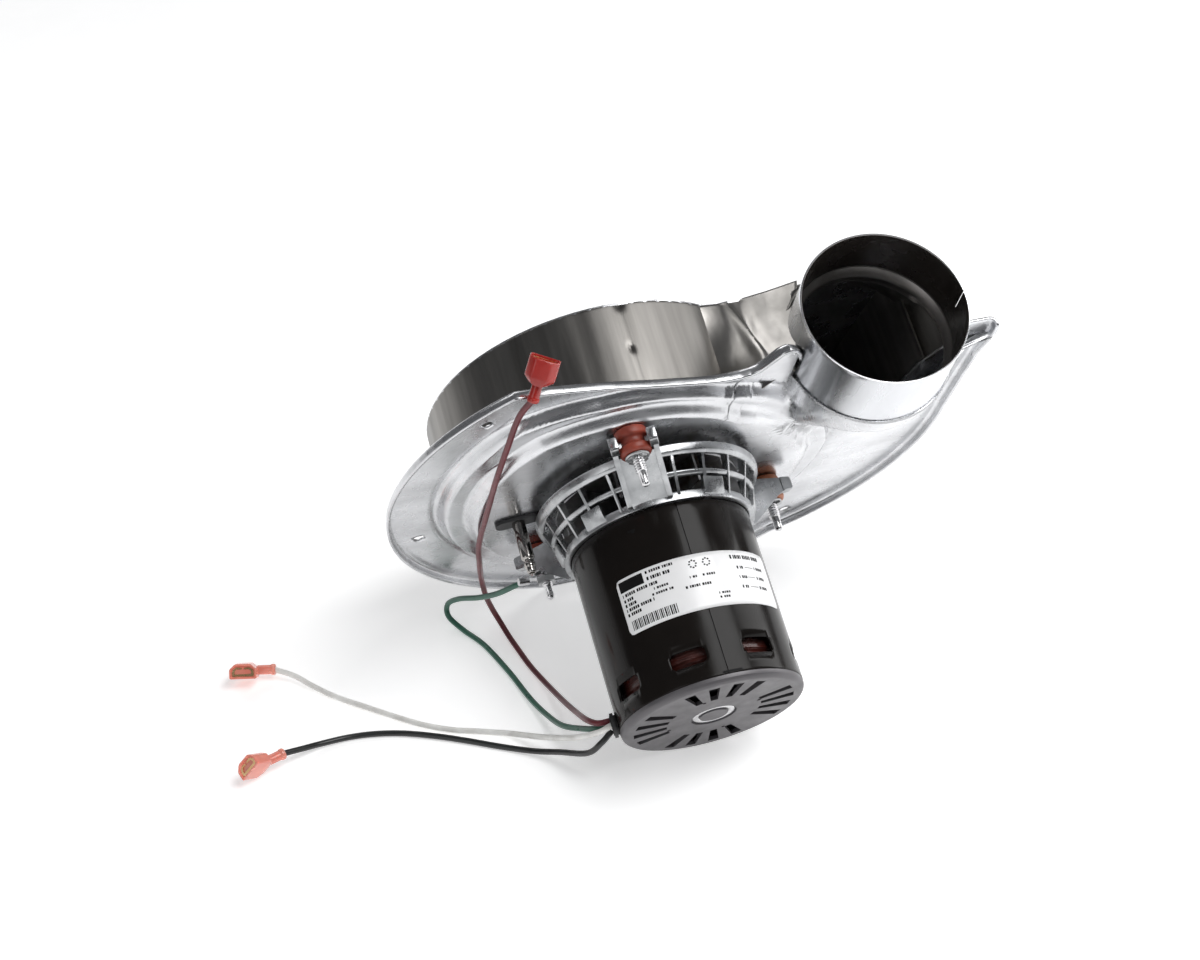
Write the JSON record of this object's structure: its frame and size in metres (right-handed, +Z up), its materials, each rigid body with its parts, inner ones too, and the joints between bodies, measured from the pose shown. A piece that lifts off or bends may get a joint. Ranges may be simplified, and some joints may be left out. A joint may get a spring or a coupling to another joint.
{
  "type": "combustion fan",
  "caption": "Furnace draft inducer blower: sheet-metal scroll with a round collar outlet, black motor on rubber-bushed lugs, and loose leads; the impeller turns.",
  "frame": {"origin": "centre of the bounding box's base, on the surface that the fan rests on, leads not counted", "axes": "+Z up as it rests on its side; +X towards the outlet's side; -Y towards the motor's cap"},
  "size_m": [0.3598, 0.2204, 0.2083],
  "materials": {
    "galvanised": "zinc coated sheet with a soft uneven shine",
    "wall_steel": "satin zinc coated strip",
    "collar_steel": "bright rolled steel outside, sooty dark inside",
    "cast_aluminium": "bright die casting with fine grain",
    "black_enamel": "gloss black enamel",
    "cap_grey": "satin grey-black",
    "copper": "varnished copper wire",
    "lamination": "stacked steel sheets",
    "steel": "turned and ground steel",
    "wheel_steel": "aluminised steel sheet",
    "dark_steel": "black oxide",
    "bronze": "sintered bronze",
    "silicone": "red silicone rubber",
    "black_rubber": "matt rubber",
    "nickel": "nickel plate",
    "label_paper": "satin printed film",
    "red_insulation": "dark red PVC",
    "white_insulation": "white PVC",
    "black_insulation": "black PVC",
    "green_insulation": "green PVC",
    "red_nylon": "translucent red nylon",
    "pink_nylon": "translucent pinkish red nylon",
    "brass": "brass sheet",
    "tin": "tin plated copper"
  },
  "bodies": {
    "housing": {"housing_plate": "galvanised", "scroll_wall": "wall_steel", "back_panel": "galvanised", "throat_boot": "galvanised", "outlet_collar": "collar_steel", "end_shield": "cast_aluminium", "grommets": "silicone", "sleeves": "steel", "mount_studs": "steel", "spring_nuts": "steel", "motor_shell": "black_enamel", "rear_cap": "cap_grey", "stator_core": "lamination", "windings": "copper", "front_bearing": "bronze", "rear_bearing": "bronze", "rating_label": "label_paper", "pressure_tap": "nickel", "tap_gasket": "black_rubber", "lead_bushing": "black_rubber", "ring_terminal": "tin", "ground_nut": "steel", "lead_red": "red_insulation", "lead_white": "white_insulation", "lead_black": "black_insulation", "lead_green": "green_insulation", "receptacle_red": "brass", "receptacle_white": "brass", "receptacle_black": "brass", "boot_red": "red_nylon", "boot_white": "pink_nylon", "boot_black": "pink_nylon"},
    "rotor": {"impeller_hub": "dark_steel", "impeller_disc": "wheel_steel", "impeller_blades": "wheel_steel", "impeller_ring": "wheel_steel", "set_screw": "dark_steel", "rotor_core": "lamination", "shaft": "steel", "cooling_fan": "wheel_steel"}
  },
  "joints": [
    {"name": "rotor_spin", "type": "hinge", "parent": "housing", "child": "rotor", "pos_m": [-0.0185, 0.0169, 0.09996], "axis": [0, -0.851, -0.5252], "continuous": true}
  ]
}
